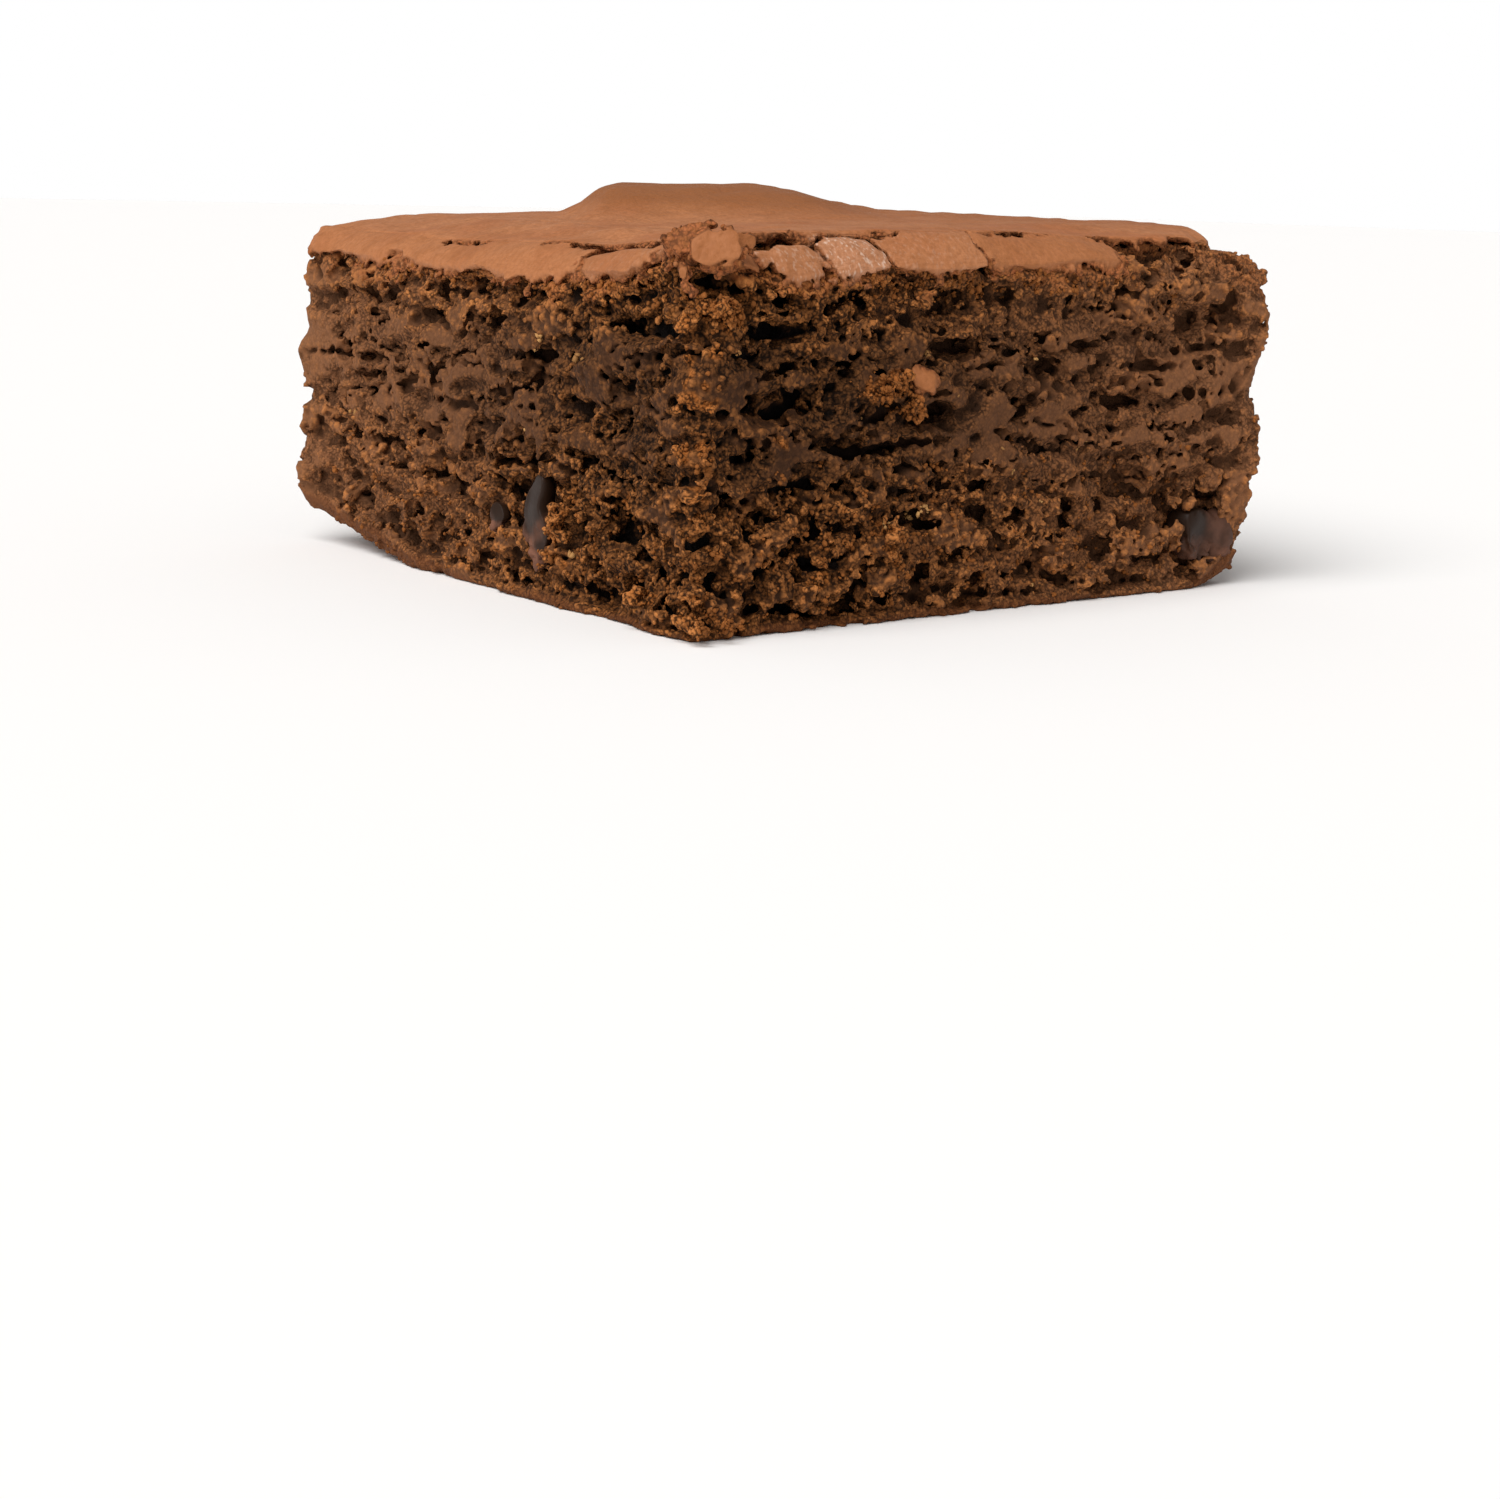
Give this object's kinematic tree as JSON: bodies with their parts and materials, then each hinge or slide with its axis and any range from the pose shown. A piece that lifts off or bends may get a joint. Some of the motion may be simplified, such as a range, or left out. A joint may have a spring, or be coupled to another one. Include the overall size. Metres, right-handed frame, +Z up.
{
  "type": "brownie",
  "caption": "Square bar of dark chocolate cake with a torn open crumb on its cut sides, a thin cracked crust on top and chocolate chips set in the sides.",
  "frame": {"origin": "middle of the bounding box in plan, at the height of the flat base that it rests on", "axes": "+Z up through the crust, X and Y along the cut sides; the near corner with the broken crust is at -X, -Y"},
  "size_m": [0.0788, 0.0802, 0.0424],
  "materials": {
    "crumb": "dark brown open cake crumb, dull, a little moist in the upper half",
    "crust": "thin light brown baked crust, smooth with a soft satin sheen",
    "chip": "dark chocolate, smooth and softly shining"
  },
  "bodies": {
    "root": {"brownie": "crumb", "chip_left": "chip", "chip_left_small": "chip", "chip_right": "chip", "chip_side": "chip", "chip_back": "chip", "chip_back_small": "chip"}
  },
  "joints": []
}
